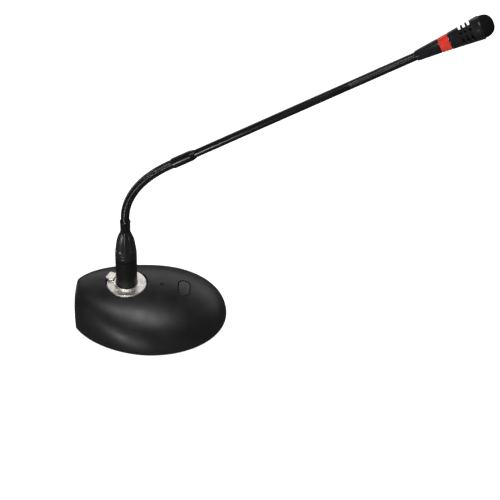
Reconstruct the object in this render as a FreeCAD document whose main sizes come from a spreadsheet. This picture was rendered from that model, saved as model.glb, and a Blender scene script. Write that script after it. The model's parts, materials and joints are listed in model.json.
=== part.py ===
import FreeCAD, Part
import math
import os

import Sketcher
from FreeCAD import Placement, Rotation, Vector

# Gooseneck podium microphone: a domed table base with a panel socket, a plug-in gooseneck and a ringed head.
# Millimetres, +Z up, +X towards the speaker.  The origin is on the table, under the socket's middle, and
# everything is symmetrical about the plane y = 0 except the socket's latch.

DIMENSIONS = {
    # Domed base: a plan outline and a crest line, each of two half superellipses, joined by arched sections
    "crest_back": (11.9, "highest point of the crest line behind the socket"),
    "crest_height": (39.1, "height of the crest line above the table"),
    "crest_rear": (41.05, "rear half of the crest line, along X, before the rear face cuts it"),
    "crest_front_power": (2.27, "superellipse power of the front crest line"),
    "crest_rear_power": (4.5, "superellipse power of the rear crest line"),
    "plan_middle": (22.0, "widest section of the base, ahead of the socket"),
    "plan_front": (64.6, "front half of the plan, along X"),
    "plan_rear": (74.7, "rear half of the plan, along X, before the rear face cuts it"),
    "plan_half_width": (52.35, "half width of the plan"),
    "plan_front_power": (2.08, "superellipse power of the front plan"),
    "plan_rear_power": (1.79, "superellipse power of the rear plan"),
    "section_power": (1.93, "superellipse power of the sections across the base"),
    "section_rear_power": (2.55, "superellipse power of the section at the rear face"),
    "rear_face": (46.5, "rear face behind the socket, at the table"),
    "rear_lean": (2.8, "lean of the rear face, degrees"),
    "rear_round": (4.0, "rounding between the rear face and the dome"),
    "shell_wall": (2.6, "wall of the base shell"),
    "shell_lift": (1.0, "gap under the base shell"),
    "plate_gap": (0.4, "gap round the base plate"),
    "plate_thick": (2.2, "thickness of the base plate"),
    "grip_inset": (8.0, "inset of the grip ring from the plan outline"),
    "grip_width": (7.0, "width of the grip ring"),
    "grip_thick": (1.8, "thickness of the grip ring"),
    "grip_seat": (0.8, "depth of the grip ring's groove"),
    # Battery well and door
    "cell_radius": (7.25, "radius of a battery cell"),
    "cell_long": (50.5, "length of a battery cell"),
    "cell_pitch": (15.1, "spacing of the two cells"),
    "well_middle": (31.1, "middle of the battery well"),
    "well_wide": (30.6, "inside of the well along X"),
    "well_long": (54.0, "inside of the well along Y"),
    "well_top": (18.6, "height of the well's ceiling"),
    "well_wall": (1.2, "wall of the battery well"),
    "door_lip": (1.6, "overlap of the door round the well"),
    "door_thick": (1.2, "thickness of the battery door"),
    "door_gap": (0.35, "gap round the battery door"),
    "door_travel": (4.0, "travel of the battery door"),
    # Electronics
    "board_low": (20.5, "underside of the circuit board"),
    "board_thick": (1.6, "thickness of the circuit board"),
    "board_middle": (42.0, "middle of the circuit board"),
    "board_long": (32.0, "circuit board along X"),
    "board_wide": (30.0, "circuit board along Y"),
    "ballast_thick": (7.0, "thickness of the ballast weight"),
    "ballast_inset": (7.0, "inset of the ballast from the plan outline"),
    # Button and lamp on the dome
    "button_x": (49.9, "button ahead of the socket"),
    "button_long": (18.2, "button along Y"),
    "button_wide": (9.4, "button along X"),
    "button_gap": (0.75, "gap round the button"),
    "button_sink": (0.35, "button top below the dome"),
    "button_low": (25.9, "underside of the button's visible column"),
    "button_lip": (0.9, "thickness and overhang of the button's lip"),
    "switch_high": (1.6, "height of the power switch's case"),
    "plunger_radius": (1.6, "radius of the power switch's plunger"),
    "lamp_x": (30.8, "indicator lamp ahead of the socket"),
    "lamp_radius": (1.5, "radius of the indicator lamp"),
    # Panel socket, along its own axis from the flange's face
    "socket_height": (38.0, "height of the flange's face"),
    "socket_tilt": (3.4, "forward tilt of the socket's axis, degrees"),
    "flange_radius": (17.5, "radius of the socket's flange"),
    "flange_thick": (2.0, "thickness of the socket's flange"),
    "recess_radius": (18.4, "radius of the shell's recess"),
    "collar_radius": (11.1, "outside of the raised collar"),
    "collar_high": (1.5, "height of the raised collar"),
    "bore_radius": (9.37, "bore of the socket"),
    "housing_radius": (11.2, "outside of the socket's housing"),
    "housing_deep": (22.0, "depth of the socket's housing"),
    "insert_radius": (7.3, "radius of the socket's insert"),
    "contact_circle": (4.2, "radius of the contacts' circle"),
    "contact_bore": (1.25, "bore of a contact"),
    "contact_radius": (1.75, "outside of a contact"),
    "pin_radius": (1.2, "radius of a plug pin"),
    "screw_circle": (14.5, "radius of the flange screws' circle"),
    "latch_angle": (157.0, "latch round the socket from +X, degrees"),
    "latch_wide": (9.0, "width of the latch's tab"),
    # Plug, along the socket's axis
    "plug_radius": (9.3, "outside of the plug's shell"),
    "plug_wall": (1.4, "wall of the plug's shell"),
    "plug_nose": (14.5, "depth of the plug in the socket"),
    "plug_shoulder": (29.6, "top of the plug's shell above the flange"),
    "boot_groove": (0.9, "groove between the shell and the boot"),
    "boot_ring": (37.2, "start of the boot's flutes"),
    "boot_top": (58.6, "top of the boot"),
    "boot_neck": (4.3, "radius of the boot's top"),
    "ferrule_radius": (4.2, "radius of the neck ferrule"),
    "ferrule_top": (70.9, "top of the neck ferrule"),
    # Neck
    "neck_bend": (58.77, "turn of the lower flexible tube, degrees"),
    "neck_long": (74.3, "length of the lower flexible tube"),
    "neck_ease": (1.38, "how the bend eases towards the coupling"),
    "neck_radius": (3.65, "radius of the lower flexible tube"),
    "coupling_radius": (4.27, "radius of the coupling"),
    "coupling_long": (21.4, "length of the coupling"),
    "stem_radius": (3.12, "radius of the rigid stem"),
    "stem_wall": (1.0, "wall of the rigid stem"),
    "stem_long": (134.0, "length of the rigid stem"),
    "upper_long": (51.0, "length of the upper flexible tube"),
    "upper_radius": (3.2, "radius of the upper flexible tube"),
    "ball_clear": (0.12, "gap between a link's ball and its cup"),
    # Head, along its axis from the upper tube's end
    "cone_start": (3.9, "radius of the rear cone's mouth"),
    "cone_end": (5.5, "radius of the rear cone's front"),
    "cone_long": (18.6, "length of the rear cone"),
    "ring_gap": (0.3, "gap line beside the light ring"),
    "ring_start": (5.55, "radius of the light ring's rear"),
    "ring_end": (6.25, "radius of the light ring's front"),
    "ring_long": (7.5, "length of the light ring"),
    "body_start": (6.35, "radius of the head body's rear"),
    "body_end": (8.95, "radius of the head body's rim"),
    "body_front": (50.9, "front of the head body"),
    "head_wall": (1.4, "wall of the head's cone and rim"),
    "body_bore": (5.15, "bore of the head body behind its slots"),
    "slot_first": (34.8, "first cooling slot"),
    "slot_pitch": (3.45, "spacing of the slots"),
    "slot_wide": (2.1, "width of a slot"),
    "slot_arc": (100.0, "arc of a slot, degrees"),
    "holder_radius": (5.2, "radius of the capsule holder behind its collar"),
    "capsule_radius": (4.85, "radius of the microphone capsule"),
    "grille_radius": (8.35, "radius of the grille"),
    "grille_long": (8.7, "length of the grille"),
    "grille_wall": (0.6, "thickness of the grille"),
    "grille_power": (2.37, "superellipse power of the grille's dome"),
}

os.makedirs("parts", exist_ok=True)
doc = FreeCAD.newDocument("gooseneck_microphone")
sheet = doc.addObject("Spreadsheet::Sheet", "Dimensions")


class Size:
    """A number together with the spreadsheet expression that gives it."""

    def __init__(self, number, text):
        self.number = number
        self.text = text

    def joined(self, sign, other, number):
        other_text = other.text if isinstance(other, Size) else repr(float(other))
        return Size(number, f"({self.text} {sign} {other_text})")

    def __add__(self, other):
        return self.joined("+", other, self.number + number_of(other))

    def __sub__(self, other):
        return self.joined("-", other, self.number - number_of(other))

    def __mul__(self, other):
        return self.joined("*", other, self.number * number_of(other))

    def __neg__(self):
        return self * -1.0


def number_of(size):
    return size.number if isinstance(size, Size) else float(size)


class Sizes:
    """The sheet's sizes by name."""


size = Sizes()
for row, (alias, (number, meaning)) in enumerate(DIMENSIONS.items(), start=1):
    sheet.set(f"A{row}", alias)
    sheet.set(f"B{row}", str(number))
    sheet.set(f"C{row}", meaning)
    sheet.setAlias(f"B{row}", alias)
    setattr(size, alias, Size(number, f"Dimensions.{alias}"))
doc.recompute()

NODES = []
HERE = Placement()


def at(x=0.0, y=0.0, z=0.0, turn=None):
    """A placement at a point, with an optional rotation."""
    return Placement(Vector(number_of(x), number_of(y), number_of(z)), turn or Rotation())


def about(axis, degrees):
    return Rotation(Vector(*axis), degrees)


ALONG_Y = about((1, 0, 0), -90)


def round_z(degrees, reach=0.0, height=0.0):
    """A place turned about the Z axis, then moved outwards and up."""
    return at(turn=about((0, 0, 1), degrees)) * at(reach, 0, height)


def bind(thing, sizes):
    for name, value in sizes.items():
        if isinstance(value, Size):
            thing.setExpression(name, value.text)
        else:
            setattr(thing, name, value)


def primitive(kind, place, **sizes):
    thing = doc.addObject("Part::" + kind, kind)
    bind(thing, sizes)
    thing.Placement = place
    return thing


def cylinder(radius, height, place=HERE, angle=360.0):
    return primitive("Cylinder", place, Radius=radius, Height=height, Angle=angle)


def cone(radius1, radius2, height, place=HERE):
    return primitive("Cone", place, Radius1=radius1, Radius2=radius2, Height=height)


def box(length, width, height, place=HERE):
    """A box centred on X and Y, rising from its placement."""
    half = Vector(-number_of(length) / 2, -number_of(width) / 2, 0)
    return primitive("Box", place * Placement(half, Rotation()), Length=length, Width=width, Height=height)


def sphere(radius, place=HERE):
    return primitive("Sphere", place, Radius=radius)


def cut(base, *tools):
    thing = doc.addObject("Part::Cut", "Cut")
    thing.Base = base
    thing.Tool = tools[0] if len(tools) == 1 else fuse(*tools)
    return thing


def fuse(*things):
    thing = doc.addObject("Part::MultiFuse", "Fuse")
    thing.Shapes = list(things)
    return thing


def common(*things):
    thing = doc.addObject("Part::MultiCommon", "Common")
    thing.Shapes = list(things)
    return thing


def group(*things):
    """Separate solids that share one node."""
    thing = doc.addObject("Part::Compound", "Group")
    thing.Links = list(things)
    return thing


def node(label, thing, place=None):
    """Give a finished sub-part its name, and its place in the object."""
    thing.Label = label
    if place is not None:
        thing.Placement = place
    NODES.append(thing)
    return thing


def origin_plane(body, role):
    return next(f for f in body.Origin.OriginFeatures if f.Role == role)


def arc_between(start, end, radius):
    """An arc from start to end; a positive radius has its centre left of the way."""
    chord = end - start
    away = math.sqrt(max(radius * radius - (chord.Length / 2) ** 2, 0.0))
    left = Vector(-chord.y, chord.x, 0).normalize() * math.copysign(away, radius)
    centre = (start + end) * 0.5 + left
    angles = [math.atan2(p.y - centre.y, p.x - centre.x) for p in (start, end)]
    if radius < 0:
        angles.reverse()
    return Part.ArcOfCircle(Part.Circle(centre, Vector(0, 0, 1), abs(radius)), *angles)


def outline_sketch(body, role, corners):
    """A closed outline.  A corner is (x, y), or (x, y, radius) where an arc leads on to the next corner."""
    sketch = body.newObject("Sketcher::SketchObject", "Outline")
    sketch.AttachmentSupport = [(origin_plane(body, role), "")]
    sketch.MapMode = "FlatFace"
    points = [Vector(number_of(c[0]), number_of(c[1]), 0) for c in corners]
    ends = []
    for index, corner in enumerate(corners):
        start, end = points[index], points[(index + 1) % len(points)]
        radius = corner[2] if len(corner) > 2 else None
        curved = radius is not None
        edge = arc_between(start, end, number_of(radius)) if curved else Part.LineSegment(start, end)
        sketch.addGeometry(edge)
        ends.append((2, 1) if curved and number_of(radius) < 0 else (1, 2))
        if isinstance(radius, Size):
            held = sketch.addConstraint(Sketcher.Constraint("Radius", index, abs(radius.number)))
            text = radius.text if radius.number > 0 else f"(0 - {radius.text})"
            sketch.setExpression(f"Constraints[{held}]", text)
    for index, corner in enumerate(corners):
        last = index - 1 if index else len(corners) - 1
        sketch.addConstraint(Sketcher.Constraint("Coincident", last, ends[last][1], index, ends[index][0]))
        for kind, axis, along in (("DistanceX", -2, corner[0]), ("DistanceY", -1, corner[1])):
            if abs(number_of(along)) < 1e-9:
                sketch.addConstraint(Sketcher.Constraint("PointOnObject", index, ends[index][0], axis))
                continue
            held = sketch.addConstraint(
                Sketcher.Constraint(kind, index, ends[index][0], number_of(along))
            )
            if isinstance(along, Size):
                sketch.setExpression(f"Constraints[{held}]", along.text)
    return sketch


def turned(corners):
    """A body turned about its own Z axis; a corner is (radius, height)."""
    body = doc.addObject("PartDesign::Body", "Turned")
    sketch = outline_sketch(body, "XZ_Plane", corners)
    turning = body.newObject("PartDesign::Revolution", "Turning")
    turning.Profile = sketch
    turning.ReferenceAxis = (sketch, ["V_Axis"])
    turning.Angle = 360.0
    return body


def padded(corners, height):
    """A plate of the given outline on the XY plane."""
    body = doc.addObject("PartDesign::Body", "Plate")
    sketch = outline_sketch(body, "XY_Plane", corners)
    pad = body.newObject("PartDesign::Pad", "Pad")
    pad.Profile = sketch
    bind(pad, {"Length": height})
    return body


def oval(long, wide, height, place=HERE):
    """An upright oval column, long along Y, with half-round ends."""
    radius = wide * 0.5
    reach = (long - wide) * 0.5
    end = long * 0.5
    corners = [
        (radius, -reach),
        (radius, reach, radius),
        (0.0, end, radius),
        (-radius, reach),
        (-radius, -reach, radius),
        (0.0, -end, radius),
    ]
    body = padded(corners, height)
    body.Placement = place
    return body


def screw(head_radius, head_high, radius, long, place, countersunk=False):
    """A cross-head screw that points down from its place, with its head's top there."""
    top = cone(radius, head_radius, head_high) if countersunk else cylinder(head_radius, head_high)
    top.Placement = at(z=-head_high)
    shank = cylinder(radius, long + 0.01, at(z=-head_high - long))
    slot = head_radius * 1.1
    cross = [box(*plan, 0.6, at(z=-0.5)) for plan in ((slot, 0.35), (0.35, slot))]
    made = cut(fuse(top, shank), *cross)
    made.Placement = place
    return made


# ---------------------------------------------------------------- the dome

REAR_PLACE = at(-DIMENSIONS["rear_face"][0], 0, 0, about((0, 1, 0), DIMENSIONS["rear_lean"][0]))


def plan_reach(direction, middle, inset):
    """Distance from a point (middle, 0) to the plan outline, drawn in by inset, along a direction."""
    across, along = math.sin(direction), math.cos(direction)

    def inside(distance):
        x = middle + distance * along - size.plan_middle.number
        ahead = x > 0
        reach = size.plan_front if ahead else size.plan_rear
        power = size.plan_front_power if ahead else size.plan_rear_power
        x_share = abs(x) / (reach.number - inset)
        y_share = abs(distance * across) / (size.plan_half_width.number - inset)
        return x_share**power.number + y_share**power.number < 1.0

    low, high = 0.0, 2 * size.plan_rear.number
    for _ in range(50):
        half = (low + high) / 2
        low, high = (half, high) if inside(half) else (low, half)
    return low


def closed_curve(points, label):
    curve = Part.BSplineCurve()
    curve.interpolate(points, True)
    wire = doc.addObject("Part::Feature", label)
    wire.Shape = Part.Wire([curve.toShape()])
    return wire


# The outline curves start at the rear, so their seam stays clear of the button and the lamp.
DIRECTIONS = [math.pi + 2 * math.pi * k / 48 for k in range(48)]


def superellipse(share, power):
    """The height of a unit superellipse at a share of its reach; zero outside it."""
    return (1 - share**power) ** (1 / power) if share < 1 else 0.0


def dome_height(x, y, inset):
    """The height of the dome, drawn in by inset, above a point of the table; zero outside it."""
    ahead = x - size.plan_middle.number
    plan = (size.plan_front, size.plan_front_power) if ahead > 0 else (size.plan_rear, size.plan_rear_power)
    half = superellipse(abs(ahead) / (plan[0].number - inset), plan[1].number)
    half *= size.plan_half_width.number - inset
    if abs(y) >= half:
        return 0.0
    tip = size.plan_middle.number + size.plan_front.number
    beyond = x + size.crest_back.number
    if beyond > 0:
        share, power = beyond / (tip + size.crest_back.number - inset), size.crest_front_power.number
    else:
        share, power = -beyond / (size.crest_rear.number - inset), size.crest_rear_power.number
    crest = (size.crest_height.number - inset) * superellipse(share, power)
    back = max(-ahead / (size.rear_face.number + size.plan_middle.number), 0.0)
    fuller = min(back, 1.0) ** 2 * (3 - 2 * min(back, 1.0))
    low, high = size.section_power.number, size.section_rear_power.number
    return crest * superellipse(abs(y) / half, low + (high - low) * fuller)


def dome_section(height, inset):
    """The dome's outline at a height, drawn in by inset."""
    crest = -size.crest_back.number
    points = []
    for direction in DIRECTIONS:
        across, along = math.sin(direction), math.cos(direction)
        low, high = 0.0, 2 * size.plan_rear.number
        for _ in range(40):
            half = (low + high) / 2
            inside = dome_height(crest + half * along, half * across, inset) > height
            low, high = (half, high) if inside else (low, half)
        points.append(Vector(crest + low * along, low * across, height))
    return closed_curve(points, "Section")


def dome(inset, low):
    """The dome from a low level up to its crest, before the rear face cuts it."""
    top = size.crest_height.number - inset
    start = math.asin(low / top)
    steps = 12
    angles = [start + (math.radians(86.5) - start) * k / (steps - 1) for k in range(steps)]
    loft = doc.addObject("Part::Loft", "Dome")
    loft.Sections = [dome_section(top * math.sin(angle), inset) for angle in angles]
    loft.Solid = True
    return loft


def plan_slab(inset, height, low):
    """A flat slab of the plan outline, cut by the leaning rear face."""
    middle = size.plan_middle.number
    points = []
    for direction in DIRECTIONS:
        reach = plan_reach(direction, middle, inset)
        points.append(Vector(middle + reach * math.cos(direction), reach * math.sin(direction), low))
    slab = doc.addObject("Part::Extrusion", "Slab")
    slab.Base = closed_curve(points, "Plan")
    slab.DirMode = "Custom"
    slab.Dir = Vector(0, 0, 1)
    bind(slab, {"LengthFwd": height})
    slab.Solid = True
    return cut(slab, behind_rear(inset))


def behind_rear(inset):
    """The space behind the leaning rear face, moved forward by inset."""
    return box(60.0, 140.0, 120.0, REAR_PLACE * at(-30.0 + inset, 0, -40.0))


def socket_place(z=0.0, turn=0.0):
    """A place in the socket's frame: its Z runs up the plug, from the middle of the flange's face."""
    frame = at(0, 0, size.socket_height, about((0, 1, 0), size.socket_tilt.number))
    return frame * round_z(turn, height=z)


THIRDS = (0, 120, 240)
CONTACTS = (60, 180, 300)
POST_PLACES = [(-33, 21), (-33, -21), (22, 39.5), (22, -39.5), (66, 17), (66, -17)]
BOARD_POSTS = [(55.0, 11.5), (55.0, -11.5)]
WELL_SCREWS = [(30.0, 11.5), (30.0, -11.5)]
BALLAST_SCREWS = [(-8, 30), (-8, -30)]
PLATE_LOW = size.grip_thick - size.grip_seat
PLATE_TOP = PLATE_LOW + size.plate_thick
OUTPUT_HEIGHT = 16.0
OUTPUT_PLACE = REAR_PLACE * at(0, 0, OUTPUT_HEIGHT, about((0, 1, 0), -90))
OUTPUT_RADIUS = 10.4
OUTPUT_BORE = 8.15
OUTPUT_DEEP = 19.0
PIVOT_REACH = 16.0
PIVOT_HEIGHT = -3.9


def rounded_rear(solid):
    """The same solid with the edge between its rear face and its dome rounded."""
    doc.recompute()
    edges = solid.Shape.Edges
    flat = [face for face in solid.Shape.Faces if face.Surface.TypeId == "Part::GeomPlane"]
    rear = next(face for face in flat if face.normalAt(0, 0).x < -0.9)
    upper = [edge for edge in rear.Edges if edge.BoundBox.ZMax > size.shell_lift.number + 1.0]
    chosen = [k for k, edge in enumerate(edges, start=1) if any(edge.isSame(other) for other in upper)]
    radius = size.rear_round.number
    rounding = doc.addObject("Part::Fillet", "RearRound")
    rounding.Base = solid
    rounding.Edges = [(k, radius, radius) for k in chosen]
    return rounding


def base_shell():
    outer = rounded_rear(cut(dome(0.0, size.shell_lift.number), behind_rear(0.0)))
    wall = size.shell_wall.number
    hollow = cut(dome(wall, 0.2), behind_rear(wall))
    boss = cylinder(size.recess_radius + 2.0, 30.0, socket_place(z=-size.flange_thick - 2.6))
    posts = [cylinder(3.4, 40.0, at(x, y, PLATE_TOP)) for x, y in POST_PLACES]
    shell = cut(outer, cut(hollow, boss, *posts))
    recess = cylinder(size.recess_radius, 20.0, socket_place(z=-size.flange_thick))
    well = cylinder(size.housing_radius + 0.5, 20.0, socket_place(z=-12.0))
    latch_room = box(7.4, 11.4, 20.0, socket_place(turn=size.latch_angle.number) * at(14.4, 0, -12.0))
    flange_places = [socket_place() * round_z(angle, size.screw_circle, -10.0) for angle in THIRDS]
    flange_holes = [cylinder(1.25, 12.0, place) for place in flange_places]
    clear = size.button_gap * 2
    button_hole = oval(size.button_long + clear, size.button_wide + clear, 40.0, at(size.button_x, 0, 10.0))
    lamp_hole = cylinder(size.lamp_radius + 0.15, 40.0, at(size.lamp_x, 0, 10.0))
    output_hole = cylinder(OUTPUT_RADIUS - 1.6, 20.0, OUTPUT_PLACE * at(z=-10.0))
    output_screw_holes = [cylinder(0.9, 8.0, OUTPUT_PLACE * at(0, s * 12.0, -6.0)) for s in (-1, 1)]
    post_holes = [cylinder(1.2, 12.0, at(x, y, PLATE_LOW - 1.0)) for x, y in POST_PLACES]
    holes = [recess, well, latch_room, button_hole, lamp_hole, output_hole]
    node("base_shell", cut(shell, *holes, *flange_holes, *output_screw_holes, *post_holes))


def base_plate():
    slab = plan_slab(size.shell_wall.number + size.plate_gap.number, size.plate_thick, PLATE_LOW.number)
    well_out = (size.well_wide + size.well_wall * 2, size.well_long + size.well_wall * 2)
    well = box(*well_out, size.well_top + size.well_wall - PLATE_LOW, at(size.well_middle, 0, PLATE_LOW))
    post_high = size.board_low - PLATE_TOP + 0.01
    posts = [cylinder(2.6, post_high, at(x, y, PLATE_TOP - 0.01)) for x, y in BOARD_POSTS]
    pads_high = size.board_low - size.well_top - size.well_wall
    pads_low = size.board_low - pads_high - 0.01
    pads = [cylinder(2.6, pads_high + 0.01, at(x, y, pads_low)) for x, y in WELL_SCREWS]
    hollow = box(size.well_wide, size.well_long, size.well_top + 1.0, at(size.well_middle, 0, -1.0))
    lip = size.door_lip + size.door_gap
    seat_long = size.well_wide + lip * 2 + size.door_travel
    seat = box(
        seat_long,
        size.well_long + lip * 2,
        PLATE_LOW + size.door_thick + 0.3,
        at(size.well_middle + size.door_travel * 0.5, 0, -0.1),
    )
    groove = cut(
        plan_slab(size.grip_inset.number - 0.15, size.grip_thick + 0.1, -0.1),
        plan_slab((size.grip_inset + size.grip_width).number + 0.15, 5.0, -1.0),
    )
    screw_holes = [cylinder(1.3, 8.0, at(x, y, -1.0)) for x, y in POST_PLACES]
    counterbores = [cylinder(2.9, 2.0, at(x, y, 0.0)) for x, y in POST_PLACES]
    board_holes = [cylinder(0.8, 1.7, at(x, y, size.board_low - 1.6)) for x, y in BOARD_POSTS + WELL_SCREWS]
    ballast_holes = [cylinder(0.9, 8.0, at(x, y, -1.0)) for x, y in BALLAST_SCREWS]
    solid = fuse(slab, well, *posts, *pads)
    holes = screw_holes + counterbores + board_holes + ballast_holes
    node("base_plate", cut(solid, hollow, seat, groove, *holes))


def underside():
    ring = cut(
        plan_slab(size.grip_inset.number, size.grip_thick, 0.0),
        plan_slab((size.grip_inset + size.grip_width).number, 5.0, -1.0),
    )
    holes = [cylinder(3.6, 4.0, at(x, y, -1.0)) for x, y in POST_PLACES + BALLAST_SCREWS]
    node("grip_ring", cut(ring, *holes))
    door = box(
        size.well_wide + size.door_lip * 2,
        size.well_long + size.door_lip * 2,
        size.door_thick,
        at(size.well_middle, 0, PLATE_LOW),
    )
    grips = [box(0.8, 14.0, 0.6, at(size.well_middle - 10.0 + 2.2 * k, 0, PLATE_LOW - 0.3)) for k in range(5)]
    node("battery_door", cut(door, *grips))
    flip = about((1, 0, 0), 180)
    places = [at(x, y, PLATE_LOW - 0.4, flip) for x, y in POST_PLACES]
    node("base_screws", group(*[screw(2.5, 1.4, 1.15, 7.0, place) for place in places]))


def ballast():
    low = PLATE_TOP + 0.1
    slab = plan_slab(size.ballast_inset.number, size.ballast_thick, low.number)
    ahead = box(120.0, 140.0, 20.0, at(72.6, 0, 0))
    connector_room = box(40.0, 2 * OUTPUT_RADIUS + 3.0, 20.0, at(-40.0, 0, 0))
    post_room = [cylinder(4.2, 20.0, at(x, y, 0)) for x, y in POST_PLACES[:2]]
    screw_room = [cylinder(0.8, 20.0, at(x, y, 0)) for x, y in BALLAST_SCREWS]
    node("ballast_weight", cut(slab, ahead, connector_room, *post_room, *screw_room))
    flip = about((1, 0, 0), 180)
    places = [at(x, y, PLATE_LOW - 0.7, flip) for x, y in BALLAST_SCREWS]
    node("ballast_screws", group(*[screw(1.9, 0.7, 0.8, 6.0, place) for place in places]))


def batteries():
    cells = []
    contacts = []
    for side in (-1, 1):
        x = size.well_middle + size.cell_pitch * (side * 0.5)
        middle = PLATE_TOP.number + size.cell_radius.number + 0.4
        low_end = at(x, -side * size.cell_long.number / 2, middle, about((1, 0, 0), -90 * side))
        can = cylinder(size.cell_radius, size.cell_long - 1.2, low_end)
        nub = cylinder(2.7, 1.21, low_end * at(z=size.cell_long.number - 1.21))
        cells.append(fuse(can, nub))
        wall = number_of(size.well_long) / 2
        flat = box(9.0, 0.4, 9.0, at(x, side * (wall - 0.2), middle - 4.5))
        contacts.append(flat)
        gap = wall - size.cell_long.number / 2
        spring_place = at(x, -side * wall, middle, about((1, 0, 0), -90 * side))
        contacts.append(cone(3.4, 2.2, gap - 0.05, spring_place))
    node("battery_cells", group(*cells))
    node("battery_contacts", group(*contacts))


def electronics():
    top = size.board_low + size.board_thick
    board = box(size.board_long, size.board_wide, size.board_thick, at(size.board_middle, 0, size.board_low))
    places = BOARD_POSTS + WELL_SCREWS
    holes = [cylinder(0.95, 4.0, at(x, y, size.board_low - 1.0)) for x, y in places]
    node("circuit_board", cut(board, *holes))
    node("board_screws", group(*[screw(1.7, 0.9, 0.78, 3.0, at(x, y, top + 0.9)) for x, y in places]))
    chip = box(9.8, 4.0, 1.6, at(38.0, 9.0, top))
    coils = [cylinder(2.5, 5.0, at(36.0 + 6.0 * k, -9.5, top)) for k in range(2)]
    small = [box(2.0, 1.2, 0.6, at(35.0 + 3.2 * k, 4.6, top)) for k in range(3)]
    node("board_components", group(chip, *coils, *small))
    case = box(7.6, 7.6, size.switch_high, at(size.button_x, 0, top))
    bore = cylinder(size.plunger_radius + 0.05, 4.0, at(size.button_x, 0, top + 0.3))
    node("power_switch", cut(case, bore))
    plunger_low = top + 1.4
    plunger_long = size.button_low - size.button_lip - plunger_low - 0.02
    node("switch_plunger", cylinder(size.plunger_radius, plunger_long, at(size.button_x, 0, plunger_low)))
    lens_low = 31.0
    lens = fuse(
        cylinder(size.lamp_radius, 4.3, at(size.lamp_x, 0, lens_low)),
        sphere(size.lamp_radius, at(size.lamp_x, 0, lens_low + 4.3)),
        cylinder(1.9, 0.8, at(size.lamp_x, 0, lens_low)),
    )
    legs = [cylinder(0.25, lens_low - number_of(top), at(size.lamp_x.number, y, top)) for y in (-1.27, 1.27)]
    node("indicator_lamp", group(lens, *legs))


def button():
    column = oval(size.button_long, size.button_wide, 20.0, at(size.button_x, 0, size.button_low - 0.01))
    skin = dome(size.button_sink.number, 0.2)
    over = size.button_gap * 2 + size.button_lip
    lip_place = at(size.button_x, 0, size.button_low - size.button_lip)
    lip = oval(size.button_long + over, size.button_wide + over, size.button_lip, lip_place)
    node("power_button", fuse(common(column, skin), lip))


# ---------------------------------------------------------------- the panel socket


def panel_socket():
    flange = turned([
        (size.bore_radius, -size.housing_deep),
        (size.housing_radius, -size.housing_deep),
        (size.housing_radius, -size.flange_thick),
        (size.flange_radius, -size.flange_thick),
        (size.flange_radius, -0.7),
        (size.flange_radius - 0.7, 0.0),
        (size.collar_radius, 0.0),
        (size.collar_radius, size.collar_high - 0.4),
        (size.collar_radius - 0.4, size.collar_high),
        (size.bore_radius + 0.35, size.collar_high),
        (size.bore_radius, size.collar_high - 0.35),
    ])
    floor = cylinder(size.housing_radius - 0.5, 3.0, at(z=-size.housing_deep))
    latch_turn = round_z(size.latch_angle.number)
    slot = box(3.4, 7.0, 8.0, latch_turn * at(12.9, 0, -4.0))
    window = box(4.4, 4.6, 3.4, latch_turn * at(10.9, 0, -10.6))
    ears = [box(3.0, 1.6, 3.3, latch_turn * at(PIVOT_REACH, s * 4.4, PIVOT_HEIGHT - 1.4)) for s in (-1, 1)]
    pin_hole = cylinder(0.8, 12.0, latch_turn * at(PIVOT_REACH, -6.0, PIVOT_HEIGHT, ALONG_Y))
    screw_seats = []
    for angle in THIRDS:
        place = round_z(angle, size.screw_circle, -size.flange_thick)
        screw_seats.append(cylinder(1.3, 6.0, place * at(z=-2.0)))
        screw_seats.append(cone(1.3, 2.9, 1.71, place * at(z=0.3)))
    contact_places = [round_z(angle, size.contact_circle, -size.housing_deep - 1.0) for angle in CONTACTS]
    contact_holes = [cylinder(1.0, 6.0, place) for place in contact_places]
    solid = cut(fuse(flange, floor, *ears), slot, window, pin_hole, *screw_seats, *contact_holes)
    node("socket_housing", solid, socket_place())

    depth = size.housing_deep - 3.05
    core = cylinder(size.insert_radius, depth - 3.0, at(z=-depth))
    bores = [cylinder(size.contact_radius, 30.0, round_z(a, size.contact_circle, -25.0)) for a in CONTACTS]
    node("socket_insert", cut(core, *bores), socket_place())

    contacts = []
    for angle in CONTACTS:
        place = round_z(angle, size.contact_circle)
        sleeve = cylinder(size.contact_radius - 0.02, depth - 3.6, place * at(z=-depth.number + 0.1))
        bore = cylinder(size.contact_bore, depth, place * at(z=-depth.number + 2.0))
        tail = cylinder(0.8, 5.0, place * at(z=-depth.number - 4.85))
        contacts.append(fuse(cut(sleeve, bore), tail))
    node("socket_contacts", group(*contacts), socket_place())

    screw_places = [round_z(angle, size.screw_circle, -0.2) for angle in THIRDS]
    screws = [screw(2.7, 1.5, 1.2, 6.5, place, countersunk=True) for place in screw_places]
    node("socket_screws", group(*screws), socket_place())


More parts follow.
